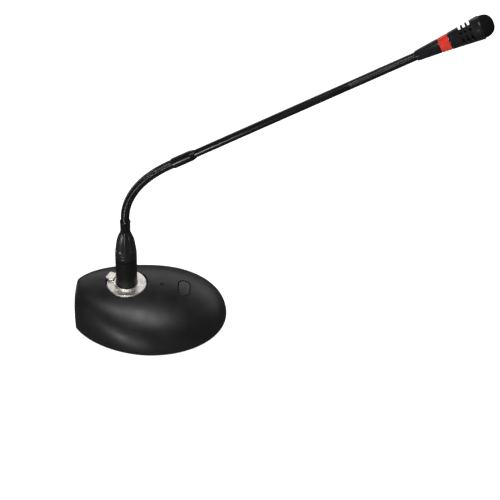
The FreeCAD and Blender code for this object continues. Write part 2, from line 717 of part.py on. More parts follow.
def latch():
    place = socket_place(turn=size.latch_angle.number)
    half = size.latch_wide * 0.5
    tab = padded([
        (11.7, -3.2),
        (14.0, -half),
        (17.6, -half),
        (18.6, -3.3),
        (18.6, 3.3),
        (17.6, half),
        (14.0, half),
        (11.7, 3.2),
    ], 1.5)
    tab.Placement = at(z=0.75)
    leg = box(1.5, 6.4, 10.9, at(12.9, 0, -9.9))
    tooth = box(3.0, 3.8, 1.6, at(11.3, 0, -9.9))
    arm = box(2.2, 6.4, 1.6, at(13.2, 0, PIVOT_HEIGHT - 0.8))
    finger = box(2.6, 4.0, 1.6, at(14.9, 0, PIVOT_HEIGHT - 0.8))
    hub = cylinder(1.3, 4.0, at(PIVOT_REACH, -2.0, PIVOT_HEIGHT, ALONG_Y))
    bore = cylinder(0.85, 5.0, at(PIVOT_REACH, -2.5, PIVOT_HEIGHT, ALONG_Y))
    node("socket_latch", cut(fuse(tab, leg, tooth, arm, finger, hub), bore), place)
    node("latch_pin", cylinder(0.79, 10.4), place * at(PIVOT_REACH, -5.2, PIVOT_HEIGHT, ALONG_Y))
    turn_places = [at(0, y, 0, ALONG_Y) for y in (-3.1, -2.5, 2.5, 3.1)]
    turns = [primitive("Torus", turn_place, Radius1=1.12, Radius2=0.28) for turn_place in turn_places]
    node("latch_spring", group(*turns), place * at(PIVOT_REACH, 0, PIVOT_HEIGHT))


# ---------------------------------------------------------------- the rear output connector


def output_connector():
    shell = turned([
        (OUTPUT_BORE, -16.0),
        (OUTPUT_BORE, -0.2),
        (OUTPUT_RADIUS - 1.9, -0.2),
        (OUTPUT_RADIUS - 1.9, -size.shell_wall - 0.1),
        (OUTPUT_RADIUS, -size.shell_wall - 0.1),
        (OUTPUT_RADIUS, -OUTPUT_DEEP),
        (0.0, -OUTPUT_DEEP),
        (0.0, -16.0),
    ])
    ears = box(7.0, 28.0, 1.6, at(z=-size.shell_wall - 1.7))
    bore = cylinder(OUTPUT_RADIUS - 0.5, 10.0, at(z=-size.shell_wall - 4.0))
    ear_holes = [cylinder(1.1, 6.0, at(0, s * 12.0, -size.shell_wall - 3.0)) for s in (-1, 1)]
    pin_places = [round_z(angle, size.contact_circle) for angle in THIRDS]
    tail_holes = [cylinder(1.7, 5.0, place * at(z=-20.0)) for place in pin_places]
    node("output_housing", cut(fuse(shell, cut(ears, bore)), *ear_holes, *tail_holes), OUTPUT_PLACE)
    insert = cylinder(OUTPUT_BORE - 0.02, 2.5, at(z=-15.98))
    pin_holes = [cylinder(size.pin_radius, 6.0, place * at(z=-18.0)) for place in pin_places]
    node("output_insert", cut(insert, *pin_holes), OUTPUT_PLACE)
    pins = [contact_pin(place * at(z=-21.5), 20.0) for place in pin_places]
    node("output_pins", group(*pins), OUTPUT_PLACE)
    back = about((1, 0, 0), 180)
    head_level = -size.shell_wall.number - 2.7
    screws = [screw(1.5, 1.0, 0.88, 4.6, at(0, s * 12.0, head_level, back)) for s in (-1, 1)]
    node("output_screws", group(*screws), OUTPUT_PLACE)


def contact_pin(place, long):
    """A connector pin with a round tip."""
    radius = size.pin_radius - 0.01
    return fuse(cylinder(radius, long, place), sphere(radius, place * at(z=long)))


# ---------------------------------------------------------------- wires inside the base

WIRE_RADIUS = 0.45


def wire(*corners):
    """A wire that runs straight from corner to corner."""
    points = [Vector(*corner) for corner in corners]
    pieces = []
    for start, end in zip(points, points[1:]):
        run = end - start
        turn = Rotation(Vector(0, 0, 1), run)
        pieces.append(cylinder(WIRE_RADIUS, run.Length, Placement(start, turn)))
    bends = [sphere(WIRE_RADIUS + 0.02, Placement(point, Rotation())) for point in points[1:-1]]
    return fuse(*pieces, *bends)


def wires():
    board_top = number_of(size.board_low + size.board_thick)
    rise, level, solder = 13.0, board_top + 0.9, 27.1
    socket_runs = []
    for angle in CONTACTS:
        tail = socket_place() * round_z(angle, size.contact_circle, -23.85)
        x, y, z = tail.Base
        path = [
            (x, y, z),
            (x, y, z - 1.0),
            (rise, y, z - 1.0),
            (rise, y, level),
            (solder, y, level),
            (solder, y, board_top),
        ]
        socket_runs.append(wire(*path))
    node("socket_wires", group(*socket_runs))
    output_runs = []
    for angle, beside in zip(THIRDS, (12.6, 13.8, 11.4)):
        tail = OUTPUT_PLACE * round_z(angle, size.contact_circle, -21.55)
        x, y, z = tail.Base
        low = 12.4
        path = [
            (x, y, z),
            (x + 1.5, y, z),
            (-17.0, beside, low),
            (rise, beside, low),
            (rise, beside, level),
            (solder, beside, level),
            (solder, beside, board_top),
        ]
        output_runs.append(wire(*path))
    node("output_wires", group(*output_runs))


# ---------------------------------------------------------------- the plug


def plug():
    groove = size.boot_groove
    inner = size.plug_radius - size.plug_wall
    shell = turned([
        (inner, -size.plug_nose),
        (size.plug_radius - 0.5, -size.plug_nose),
        (size.plug_radius, -size.plug_nose + 0.5),
        (size.plug_radius, size.plug_shoulder),
        (inner, size.plug_shoulder),
    ])
    key = box(4.0, 2.4, 16.0, round_z(size.latch_angle.number, 9.0, -size.plug_nose - 1.0))
    node("plug_shell", cut(shell, key), socket_place())

    insert = cylinder(inner - 0.02, 9.0, at(z=1.5))
    pin_places = [round_z(angle, size.contact_circle) for angle in CONTACTS]
    pin_holes = [cylinder(size.pin_radius, 20.0, place * at(z=-2.0)) for place in pin_places]
    node("plug_insert", cut(insert, *pin_holes), socket_place())
    pins = [contact_pin(place * at(z=13.5, turn=about((1, 0, 0), 180)), 26.0) for place in pin_places]
    node("plug_pins", group(*pins), socket_place())

    ring = size.plug_shoulder + groove
    boot = turned([
        (4.5, size.plug_shoulder - 8.0),
        (inner - 0.05, size.plug_shoulder - 8.0),
        (inner - 0.05, ring),
        (size.plug_radius, ring),
        (size.plug_radius + 0.1, ring + 3.0),
        (size.plug_radius, size.boot_ring, 45.0),
        (size.boot_neck, size.boot_top),
        (3.2, size.boot_top),
    ])
    flutes = []
    for k in range(8):
        place = round_z(22.5 + 45 * k, 9.35, 55.0) * at(turn=about((0, 1, 0), -13.0))
        flutes.append(primitive("Ellipsoid", place, Radius1=17.5, Radius2=2.4, Radius3=2.5))
    rings = cut(cylinder(11.0, 0.4, at(z=33.6)), cylinder(size.plug_radius - 0.2, 1.0, at(z=33.4)))
    node("plug_boot", cut(boot, rings, *flutes), socket_place())

    ferrule = turned([
        (0.0, size.boot_top - 6.0),
        (3.18, size.boot_top - 6.0),
        (3.18, size.boot_top + 0.05),
        (size.ferrule_radius - 0.25, size.boot_top + 0.05),
        (size.ferrule_radius, size.boot_top + 0.3),
        (size.ferrule_radius + 0.1, size.ferrule_top - 1.6),
        (size.ferrule_radius - 0.35, size.ferrule_top - 1.3),
        (0.0, size.ferrule_top - 1.3),
    ])
    top = size.ferrule_top.number
    ball, stalk = link_head(size.neck_radius.number, top - 1.31, top + RIM)
    node("neck_ferrule", fuse(ferrule, stalk, ball), socket_place())


# ---------------------------------------------------------------- the gooseneck

LOWER_LINKS = 7
UPPER_LINKS = 5
SHOULDER = 2.8
RIM = 1.0


def ball_radius(radius):
    return radius * 0.71


def link_head(radius, low, joint):
    """The stalk and ball at the end of a link, whose joint is at a height."""
    stalk = cylinder(radius * 0.43, joint - low, at(z=low))
    return sphere(ball_radius(radius), at(z=joint)), stalk


def cup_cut(radius, height=0.0):
    return sphere(ball_radius(radius) + size.ball_clear.number, at(z=height))


def neck_link(label, radius, start, end):
    """One link of a flexible tube, from its own joint to the next one."""
    run = end - start
    long = run.Length
    barrel = cylinder(radius, long - SHOULDER + RIM, at(z=-RIM))
    ball, stalk = link_head(number_of(radius), long - SHOULDER - 0.01, long)
    link = cut(fuse(barrel, stalk, ball), cup_cut(number_of(radius)))
    tilt = math.degrees(math.atan2(run.x, run.z))
    node(label, link, Placement(start, about((0, 1, 0), tilt)))


def neck_route():
    """The middle of the lower tube, as evenly spaced joints, and the heading at its end."""
    point = socket_place(z=size.ferrule_top.number + RIM).Base
    steps = 60 * LOWER_LINKS
    long = size.neck_long.number
    joints = [Vector(point)]
    for k in range(steps):
        left = size.neck_bend.number * (1 - (k + 0.5) / steps) ** size.neck_ease.number
        heading = math.radians(90 - size.socket_tilt.number - size.neck_bend.number + left)
        point = point + Vector(math.cos(heading), 0, math.sin(heading)) * (long / steps)
        if (k + 1) % 60 == 0:
            joints.append(Vector(point))
    return joints


def along_stem(distance):
    """A place on the straight part of the neck and head, whose Z runs along it."""
    tilt = size.socket_tilt.number + size.neck_bend.number
    return Placement(LOWER_JOINTS[-1], about((0, 1, 0), tilt)) * at(z=distance)


LOWER_JOINTS = neck_route()
STEM_START = size.coupling_long.number - RIM
UPPER_START = (size.coupling_long + size.stem_long).number
HEAD_START = UPPER_START + size.upper_long.number - RIM


def neck():
    for k in range(LOWER_LINKS):
        neck_link(f"lower_neck_link_{k + 1}", size.neck_radius, LOWER_JOINTS[k], LOWER_JOINTS[k + 1])

    long = size.coupling_long
    coupling = turned([
        (0.0, -RIM),
        (size.neck_radius, -RIM),
        (size.coupling_radius, -0.2),
        (size.coupling_radius, long - 4.6),
        (size.stem_radius + 0.35, long - 1.0),
        (size.stem_radius + 0.02, long - 1.0),
        (size.stem_radius + 0.02, long - 9.0),
        (0.0, long - 9.0),
    ])
    node("neck_coupling", cut(coupling, cup_cut(size.neck_radius.number)), along_stem(0.0))

    low = STEM_START - 8.0
    high = UPPER_START - SHOULDER
    tube = cut(
        cylinder(size.stem_radius, high - low, at(z=low)),
        cylinder(size.stem_radius - size.stem_wall, high - low - 6.0, at(z=low - 1.0)),
    )
    ball, stalk = link_head(size.upper_radius.number, high - 0.01, UPPER_START)
    node("stem_tube", fuse(tube, stalk, ball), along_stem(0.0))

    step = size.upper_long.number / UPPER_LINKS
    for k in range(UPPER_LINKS):
        start, end = (along_stem(UPPER_START + step * j).Base for j in (k, k + 1))
        neck_link(f"upper_neck_link_{k + 1}", size.upper_radius, start, end)


# ---------------------------------------------------------------- the head

DOME_STEPS = 14


def head():
    place = along_stem(HEAD_START)
    wall = size.head_wall
    rear = turned([
        (0.0, 0.0),
        (size.upper_radius + 0.15, 0.0),
        (size.cone_start - 0.1, 0.8),
        (size.cone_start + 0.35, 4.0),
        (size.cone_end, size.cone_long),
        (size.cone_end - wall, size.cone_long),
        (size.cone_end - wall, 6.0),
        (0.0, 6.0),
    ])
    node("head_cone", cut(rear, cup_cut(size.upper_radius.number, RIM)), place)

    ring_low = size.cone_long + size.ring_gap
    ring_top = ring_low + size.ring_long
    node("light_ring", turned([
        (size.ring_start - 1.6, ring_low),
        (size.ring_start, ring_low),
        (size.ring_end, ring_top),
        (size.ring_start - 1.6, ring_top),
    ]), place)

    core = turned([
        (2.4, size.cone_long - 4.0),
        (3.5, size.cone_long - 4.0),
        (3.5, ring_top + 4.0),
        (2.4, ring_top + 4.0),
    ])
    node("head_core_tube", core, place)

    lamp_board = cut(cylinder(2.35, 1.0, at(z=ring_low + 0.6)), cylinder(0.9, 3.0, at(z=ring_low)))
    node("ring_lamp_board", lamp_board, place)
    chips = [box(0.9, 1.5, 0.7, round_z(90 * k, 1.6, ring_low + 1.6)) for k in range(4)]
    node("ring_lamps", group(*chips), place)

    body_low = ring_top + size.ring_gap
    front = size.body_front
    shell = turned([
        (3.55, body_low),
        (size.body_start, body_low),
        (size.body_end, front - 1.2),
        (size.body_end - 0.1, front - 0.3),
        (size.body_end - 0.5, front),
        (size.grille_radius + 0.03, front),
        (size.grille_radius + 0.03, front - 2.2),
        (size.body_end - wall - 0.4, front - 2.2),
        (size.body_bore + 0.5, 43.4),
        (size.body_bore, body_low + 4.0),
        (3.55, body_low + 4.0),
    ])
    slots = []
    for first_angle in (30, 150, 270):
        for k in range(3):
            start = about((0, 0, 1), first_angle - size.slot_arc.number / 2)
            slot_place = at(z=size.slot_first + size.slot_pitch * k, turn=start)
            slots.append(cylinder(14.0, size.slot_wide, slot_place, angle=size.slot_arc))
    node("head_body", cut(shell, *slots), place)

    holder = turned([
        (1.0, body_low + 4.05),
        (3.3, body_low + 4.05),
        (size.holder_radius - 0.55, body_low + 5.4),
        (size.holder_radius, 43.0),
        (5.45, 43.6),
        (5.45, 48.0),
        (size.capsule_radius + 0.02, 48.0),
        (size.capsule_radius + 0.02, 44.0),
        (1.0, 44.0),
    ])
    node("capsule_holder", holder, place)
    capsule = cut(cylinder(size.capsule_radius, 4.6, at(z=44.05)), cylinder(3.0, 0.5, at(z=48.35)))
    node("microphone_capsule", capsule, place)

    grille_low = front - 2.15
    dome_low = front + 0.1
    dome_high = size.grille_long - 0.1
    inner_radius = size.grille_radius - size.grille_wall
    outer = turned_dome(size.grille_radius, dome_low, dome_high)
    inner = turned_dome(inner_radius, dome_low, dome_high - size.grille_wall)
    skirt = cylinder(size.grille_radius, dome_low - grille_low + 0.01, at(z=grille_low))
    skirt_bore = cylinder(inner_radius, dome_low - grille_low + 0.02, at(z=grille_low - 0.01))
    node("grille", cut(fuse(skirt, outer), skirt_bore, inner), place)
    node("grille_foam", turned_dome(inner_radius - 0.3, dome_low, dome_high - size.grille_wall - 1.0), place)


def turned_dome(radius, low, high):
    """A blunt dome of superellipse profile that stands on a height."""
    share = 2 / size.grille_power.number
    corners = [(0.0, low)]
    for k in range(DOME_STEPS):
        turn = math.radians(90 * k / DOME_STEPS)
        corners.append((radius * math.cos(turn) ** share, low + high * math.sin(turn) ** share))
    corners.append((0.0, low + high))
    return turned(corners)


base_shell()
base_plate()
underside()
ballast()
batteries()
electronics()
button()
panel_socket()
latch()
output_connector()
wires()
plug()
neck()
head()
doc.recompute()

for thing in doc.Objects:
    if "Invalid" in thing.State or "Error" in thing.State:
        raise RuntimeError(f"{thing.Name} ({thing.Label}) failed: {thing.State}")
for thing in NODES:
    shape = thing.Shape
    if shape.isNull() or not shape.isValid() or not shape.Solids:
        raise RuntimeError(f"{thing.Label} has no valid solid")
    shape.exportStep(f"parts/{thing.Label}.step")
    print(thing.Label, len(shape.Solids), round(shape.Volume, 1))
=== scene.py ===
import json
import math

import bmesh
import bpy
from mathutils import Matrix, Vector


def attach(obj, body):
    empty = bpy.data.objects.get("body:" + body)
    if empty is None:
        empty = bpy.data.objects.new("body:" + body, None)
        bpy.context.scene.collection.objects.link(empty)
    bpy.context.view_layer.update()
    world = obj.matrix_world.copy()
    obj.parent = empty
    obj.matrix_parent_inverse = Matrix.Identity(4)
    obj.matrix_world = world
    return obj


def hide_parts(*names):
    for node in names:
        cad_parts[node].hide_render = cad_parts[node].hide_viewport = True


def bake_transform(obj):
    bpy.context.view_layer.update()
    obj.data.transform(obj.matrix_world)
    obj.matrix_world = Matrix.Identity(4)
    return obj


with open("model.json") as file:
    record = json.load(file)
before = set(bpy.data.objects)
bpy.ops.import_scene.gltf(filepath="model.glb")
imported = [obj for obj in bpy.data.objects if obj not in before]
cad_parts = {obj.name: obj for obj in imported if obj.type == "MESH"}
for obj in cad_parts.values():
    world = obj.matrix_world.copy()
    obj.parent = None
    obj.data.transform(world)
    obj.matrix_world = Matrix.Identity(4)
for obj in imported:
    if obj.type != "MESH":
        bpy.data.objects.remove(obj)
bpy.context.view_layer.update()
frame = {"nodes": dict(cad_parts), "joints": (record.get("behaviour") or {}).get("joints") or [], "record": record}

# Gooseneck podium microphone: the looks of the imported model, in metres, in its frame.  +Z is up and +X is the
# way the neck leans.  Sizes below that come in millimetres are turned into metres by MM.

MM = 0.001
RECORD = frame["record"]
JOINTS = {joint["name"]: joint for joint in frame["joints"]}
NODES = frame["nodes"]
scene = bpy.context.scene

# ---------------------------------------------------------------- frames read from the model

SOCKET_AXIS = Vector(JOINTS["plug_release"]["axis"]).normalized()
LATCH_PIVOT = Vector(JOINTS["latch_press"]["pos_m"])
PIVOT_HEIGHT = -3.9 * MM  # of the latch's pin, from the face of the socket's flange


def frame_along(origin, axis):
    """A frame at a point whose Z runs along an axis in the plane y = 0 and whose Y is the model's Y."""
    side = Vector((0, 1, 0))
    return Matrix.Translation(origin) @ Matrix((side.cross(axis), side, axis)).transposed().to_4x4()


# The socket's frame starts at the middle of its flange's face, on the model's Z axis.
FLANGE = Vector((0, 0, (LATCH_PIVOT.dot(SOCKET_AXIS) - PIVOT_HEIGHT) / SOCKET_AXIS.z))
SOCKET = frame_along(FLANGE, SOCKET_AXIS)


def joint_chain(prefix, count):
    """The joints' places along a flexible tube, from its root."""
    kinds = ("pitch", "side")
    names = [f"{prefix}_{kinds[k % 2]}_{k // 2 + 1}" for k in range(count)]
    return [Vector(JOINTS[name]["pos_m"]) for name in names]


LOWER = joint_chain("lower", 8)
UPPER = joint_chain("upper", 6)
STEM_AXIS = (UPPER[-1] - UPPER[0]).normalized()
RIM = 1.0 * MM  # how far the coupling and the head reach back over their last joint
HEAD = frame_along(UPPER[-1] - STEM_AXIS * RIM, STEM_AXIS)
STEM = frame_along(LOWER[-1] - STEM_AXIS * RIM, STEM_AXIS)

# ---------------------------------------------------------------- materials

NOISE_RANGE = (0.35, 0.65)  # most of a noise lies between these


class Look:
    """A node material that is built up by small steps."""

    def __init__(self, name, colour, roughness, metallic=0.0, **sockets):
        self.name = name
        self.material = bpy.data.materials.new(name)
        self.material.use_nodes = True
        self.tree = self.material.node_tree
        self.shader = self.tree.nodes["Principled BSDF"]
        self.shader.inputs["Base Color"].default_value = (*colour, 1)
        self.shader.inputs["Roughness"].default_value = roughness
        self.shader.inputs["Metallic"].default_value = metallic
        for socket, value in sockets.items():
            self.shader.inputs[socket.replace("_", " ")].default_value = value
        self.colour = colour
        self.roughness = roughness
        self.coordinates = self.tree.nodes.new("ShaderNodeTexCoord").outputs["Object"]

    def node(self, kind, **values):
        """A new shader node; a value sets one of its properties or one of its sockets."""
        made = self.tree.nodes.new("ShaderNode" + kind)
        for name, value in values.items():
            if hasattr(made, name):
                setattr(made, name, value)
            else:
                made.inputs[name.replace("_", " ").title()].default_value = value
        return made

    def link(self, source, target):
        """A link from an output socket to an input socket."""
        self.tree.links.new(source, target)

    def grain(self, scale, detail=3.0):
        """A noise of so many waves in a metre."""
        texture = self.node("TexNoise", scale=scale, detail=detail)
        self.link(self.coordinates, texture.inputs["Vector"])
        return texture.outputs["Fac"]

    def spread(self, factor, low, high):
        """A noise's usual range spread over low to high."""
        ranged = self.node("MapRange")
        start, end = NOISE_RANGE
        for socket, value in (("From Min", start), ("From Max", end), ("To Min", low), ("To Max", high)):
            ranged.inputs[socket].default_value = value
        self.link(factor, ranged.inputs["Value"])
        return ranged.outputs["Result"]

    def mottled(self, factor, share=0.25):
        """Colour that varies by a share either way with a factor."""
        ramp = self.node("ValToRGB")
        for element, place, level in zip(ramp.color_ramp.elements, NOISE_RANGE, (1 - share, 1 + share)):
            element.color = (*[min(c * level, 1) for c in self.colour], 1)
            element.position = place
        self.link(factor, ramp.inputs["Fac"])
        self.link(ramp.outputs["Color"], self.shader.inputs["Base Color"])
        return self

    def worn(self, factor, share=0.2):
        """Roughness that varies by a share either way with a factor."""
        rough = self.spread(factor, self.roughness * (1 - share), self.roughness * (1 + share))
        self.link(rough, self.shader.inputs["Roughness"])
        return self

    def bevelled(self, radius):
        """Edges that catch the light as if rounded to a radius in metres."""
        bevel = self.node("Bevel", samples=6)
        bevel.inputs["Radius"].default_value = radius
        self.link(bevel.outputs["Normal"], self.shader.inputs["Normal"])
        return self

    def bumped(self, factor, depth, strength=1.0):
        """A relief of a depth in metres, laid over any earlier relief."""
        bump = self.node("Bump")
        bump.inputs["Strength"].default_value = strength
        bump.inputs["Distance"].default_value = depth
        normal = self.shader.inputs["Normal"]
        if normal.links:
            self.link(normal.links[0].from_socket, bump.inputs["Normal"])
        self.link(factor, bump.inputs["Height"])
        self.link(bump.outputs["Normal"], normal)
        return self


def plastic(name, colour, roughness, grain=1800, depth=0.02 * MM, edge=0.0, **sockets):
    """Moulded plastic: a fine spark-eroded grain and faint clouds of shine."""
    look = Look(name, colour, roughness, **{"Specular_IOR_Level": 0.3, **sockets})
    if edge:
        look.bevelled(edge)
    fine = look.grain(grain, detail=2.0)
    clouds = look.grain(60, detail=4.0)
    return look.mottled(clouds, share=0.12).worn(clouds, share=0.1).bumped(fine, depth, strength=0.5)


def metal(name, colour, roughness, depth=0.01 * MM, share=0.1, edge=0.0):
    """Metal with fine turning marks and uneven polish."""
    look = Look(name, colour, roughness, metallic=1.0)
    if edge:
        look.bevelled(edge)
    marks = look.grain(900, detail=3.0)
    clouds = look.grain(160, detail=4.0)
    return look.mottled(clouds, share).worn(marks, share=0.25).bumped(marks, depth, strength=0.5)


# One look for each material slot of the record; each is (name, colour, roughness, the rest by name).
LOOK_LIST = (
    plastic("shell_plastic", (0.009, 0.009, 0.010), 0.41, depth=0.012 * MM, edge=0.5 * MM),
    plastic("button_plastic", (0.02, 0.02, 0.021), 0.36, edge=0.8 * MM),
    plastic("plate_plastic", (0.03, 0.03, 0.032), 0.6, grain=900, depth=0.05 * MM),
    plastic("grip_rubber", (0.02, 0.02, 0.02), 0.8, grain=1200, depth=0.06 * MM),
    plastic("insert_plastic", (0.012, 0.012, 0.012), 0.5),
    plastic("plug_metal", (0.006, 0.006, 0.0065), 0.36, grain=2500, depth=0.01 * MM, edge=0.2 * MM),
    plastic(
        "boot_plastic", (0.007, 0.007, 0.0075), 0.33, grain=2500, depth=0.006 * MM, Specular_IOR_Level=0.7,
    ),
    plastic(
        "neck_metal", (0.005, 0.005, 0.0055), 0.24, grain=2500, depth=0.006 * MM, Specular_IOR_Level=0.5,
    ),
    plastic("head_plastic", (0.009, 0.009, 0.0105), 0.27, grain=2200, depth=0.012 * MM),
    metal("nickel", (0.92, 0.88, 0.82), 0.37, depth=0.002 * MM, share=0.12, edge=0.3 * MM),
    metal("screw_steel", (0.55, 0.55, 0.54), 0.35),
    metal("spring_steel", (0.6, 0.6, 0.58), 0.3),
    metal("black_screw", (0.05, 0.05, 0.05), 0.4),
    metal("ballast_iron", (0.25, 0.24, 0.23), 0.6, depth=0.05 * MM),
    metal("contact_gold", (0.85, 0.62, 0.28), 0.25),
    metal("capsule_metal", (0.5, 0.5, 0.5), 0.35),
    metal("cell_jacket", (0.3, 0.31, 0.33), 0.35),
    plastic("board_green", (0.01, 0.12, 0.05), 0.35),
    plastic("component_black", (0.02, 0.02, 0.02), 0.45),
    plastic("wire_cover", (0.25, 0.02, 0.02), 0.5),
    plastic("lamp_lens", (0.006, 0.004, 0.004), 0.3, Coat_Weight=0.1),
    plastic("ring_plastic", (0.56, 0.028, 0.016), 0.34, grain=500, Coat_Weight=0.25),
    plastic("lamp_chip", (0.8, 0.75, 0.5), 0.4),
    plastic("grille_metal", (0.007, 0.007, 0.007), 0.6, Specular_IOR_Level=0.12),
    plastic("foam", (0.006, 0.006, 0.006), 0.95, grain=1500, depth=0.3 * MM),
)
LOOKS = {look.name: look for look in LOOK_LIST}

for part in RECORD["subparts"]:
    slots = NODES[part["node"]].data.materials
    slots.clear()
    slots.append(LOOKS[part["material_slot"]].material)

# ---------------------------------------------------------------- building pieces

ROUND = 96  # points round a turned piece
CORNER_SHARE = 0.45  # of a side, the most that a rounded corner may take


def raised(place, height):
    """A frame moved up its Z by a height in millimetres."""
    return place @ Matrix.Translation((0, 0, height * MM))


def cubic(a, b, leave, arrive, s):
    """A smooth way from a to b with a slope at each end, at a share s of the way."""
    way = a * (2 * s**3 - 3 * s**2 + 1) + leave * (s**3 - 2 * s**2 + s)
    return way + b * (3 * s**2 - 2 * s**3) + arrive * (s**3 - s**2)


def circle(place, radius, count=ROUND):
    """Points round a frame's Z."""
    turns = [2 * math.pi * k / count for k in range(count)]
    return [place @ Vector((radius * math.cos(turn), radius * math.sin(turn), 0)) for turn in turns]


def skin(rings):
    """Vertices and quads over a closed row of rings, the last joined to the first."""
    count = len(rings[0])
    vertices = [point for ring in rings for point in ring]
    faces = []
    for k in range(len(rings)):
        low, high = k * count, (k + 1) % len(rings) * count
        for i in range(count):
            after = (i + 1) % count
            faces.append((low + i, low + after, high + after, high + i))
    return vertices, faces


def add_piece(name, slot, vertices, faces, sharp=35.0):
    """A closed piece with outward faces and the finish of one of the record's slots."""
    mesh = bpy.data.meshes.new(name)
    mesh.from_pydata(vertices, [], faces)
    work = bmesh.new()
    work.from_mesh(mesh)
    bmesh.ops.recalc_face_normals(work, faces=work.faces)
    work.to_mesh(mesh)
    work.free()
    mesh.shade_smooth()
    mesh.set_sharp_from_angle(angle=math.radians(sharp))
    mesh.materials.append(LOOKS[slot].material)
    piece = bpy.data.objects.new(name, mesh)
    scene.collection.objects.link(piece)
    return piece


def rounded(profile, radius, steps=4):
    """A closed profile with its corners rounded."""
    points = [Vector(point) for point in profile]
    out = []
    for k, corner in enumerate(points):
        before, after = points[k - 1] - corner, points[(k + 1) % len(points)] - corner
        start = corner + before.normalized() * min(radius, before.length * CORNER_SHARE)
        end = corner + after.normalized() * min(radius, after.length * CORNER_SHARE)
        for step in range(steps + 1):
            share = step / steps
            out.append(start * (1 - share) ** 2 + corner * 2 * share * (1 - share) + end * share**2)
    return out


def turned(name, slot, body, node, place, profile, radius):
    """A turned piece that stands for a CAD node.  Its closed profile is (radius, height) in millimetres."""
    rings = [circle(raised(place, z), r * MM) for r, z in rounded(profile, radius)]
    piece = add_piece(name, slot, *skin(rings))
    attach(piece, body)
    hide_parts(node)


# ---------------------------------------------------------------- flexible tubes


class Route:
    """A smooth curve through a row of joints in the plane y = 0, counted in links along it."""

    def __init__(self, joints, first, last):
        link = (joints[1] - joints[0]).length
        inner = [(after - before) / 2 for before, after in zip(joints, joints[2:])]
        self.joints = joints
        self.link = link
        self.slopes = [first * link, *inner, last * link]

    def at(self, t):
        """The frame after t links, with its Z along the curve."""
        k = min(max(math.floor(t), 0), len(self.joints) - 2)
        s = t - k
        a, b, u, v = self.joints[k], self.joints[k + 1], self.slopes[k], self.slopes[k + 1]
        slope = (b - a) * (6 * s - 6 * s**2) + u * (3 * s**2 - 4 * s + 1) + v * (3 * s**2 - 2 * s)
        return frame_along(cubic(a, b, u, v, s), slope.normalized())


TURNS_PER_LINK = 8
ROWS_PER_TURN = 8
RIB_DEPTH = 0.26 * MM
TUBE_ROUND = 64
SLEEVE_RADIUS = 3.15 * MM
SLEEVE_PLAY = 0.15 * MM  # between the sleeve and its seat
SLEEVE_LONG = 1.1 * MM
SEAT_DEPTH = 1.4  # of the sleeve's seat, as a multiple of the sleeve's length

# Blended in the plain way, these two lengths would tear by rounding with all joints at a limit.
SLEEVED = ("lower_tube_7",)  # made of two stiff halves instead
FROM_FAR_END = ("lower_tube_3",)  # with its two bodies and ends swapped; nothing uses them


def rib_ring(route, t, radius):
    """Points round a tube whose surface is wound from round wire, t links along it."""
    place = route.at(t)
    points = []
    for k in range(TUBE_ROUND):
        share = k / TUBE_ROUND
        turn = 2 * math.pi * share
        phase = (t * TURNS_PER_LINK - share) % 1.0
        reach = radius - RIB_DEPTH * (1 - math.sqrt(1 - (2 * phase - 1) ** 2))
        points.append(place @ Vector((reach * math.cos(turn), reach * math.sin(turn), 0)))
    return points


def steps_along(start, end):
    """Places from start to end, close enough together for the ribs."""
    rows = round(abs(end - start) * TURNS_PER_LINK * ROWS_PER_TURN)
    return [start + (end - start) * row / rows for row in range(rows + 1)]


def ribbed_tube(name, route, start, end, radius, bore):
    """One length of a flexible tube; its bore is a row of (place, inner radius), from end to start."""
    rings = [rib_ring(route, t, radius) for t in steps_along(start, end)]
    rings += [circle(route.at(t), r, TUBE_ROUND) for t, r in bore]
    return add_piece(name, "neck_metal", *skin(rings), sharp=60.0)


def bending_length(name, route, start, end, bodies, radius, wall):
    """A length of tube across one joint, baked into the model's frame; it is not joined to its two bodies."""
    bore = [(t, radius - wall) for t in steps_along(end, start)]
    piece = ribbed_tube(name, route, start, end, radius, bore)
    places = [route.at(start).translation, route.at(end).translation]
    if name in FROM_FAR_END:
        bodies, places = bodies[::-1], places[::-1]
    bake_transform(piece)
    return piece


def sleeved_length(name, route, start, end, joint, bodies, radius, wall):
    """A length of tube made of two stiff halves that meet at a joint, one with a sleeve inside the other."""
    bore = radius - wall
    reach = SLEEVE_LONG / route.link
    tip = joint + reach
    sleeve = [(joint, SLEEVE_RADIUS), (tip, SLEEVE_RADIUS), (tip, bore), (joint, bore), (start, bore)]
    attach(ribbed_tube(f"{name}_sleeve", route, start, joint, radius, sleeve), bodies[0])
    floor = joint + SEAT_DEPTH * reach
    wide = SLEEVE_RADIUS + SLEEVE_PLAY
    seat = [(end, bore), (floor, bore), (floor, wide), (joint, wide)]
    piece = ribbed_tube(name, route, joint, end, radius, seat)
    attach(piece, bodies[1])
    return piece


def flexible_tube(prefix, route, first, last, chain, radius, wall):
    """A tube made of lengths that meet halfway between joints; each CAD link is shown by one of them."""
    count = len(route.joints)
    for k in range(count):
        start = first if k == 0 else k - 0.5
        end = last if k == count - 1 else k + 0.5
        name = f"{prefix}_tube_{k + 1}"
        if name in SLEEVED:
            piece = sleeved_length(name, route, start, end, k, chain[k:k + 2], radius, wall)
        else:
            piece = bending_length(name, route, start, end, chain[k:k + 2], radius, wall)
        if k < count - 1:
            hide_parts(f"{prefix}_neck_link_{k + 1}")


def links(prefix, joints):
    """The bodies between the joints of a tube."""
    return [f"{prefix}_link_{k + 1}" for k in range(len(joints) - 1)]


LOWER_RADIUS = 3.65 * MM
LOWER_WALL = 0.9 * MM
UPPER_RADIUS = 3.2 * MM
UPPER_WALL = 0.75 * MM
FERRULE_REACH = 1.3 * MM  # how far the lower tube goes into the ferrule
STEM_SHOULDER = 2.8 * MM  # how far the upper tube starts before its first joint
TUCK = 0.5 * MM  # how far a tube's front end stays behind the rim that covers it


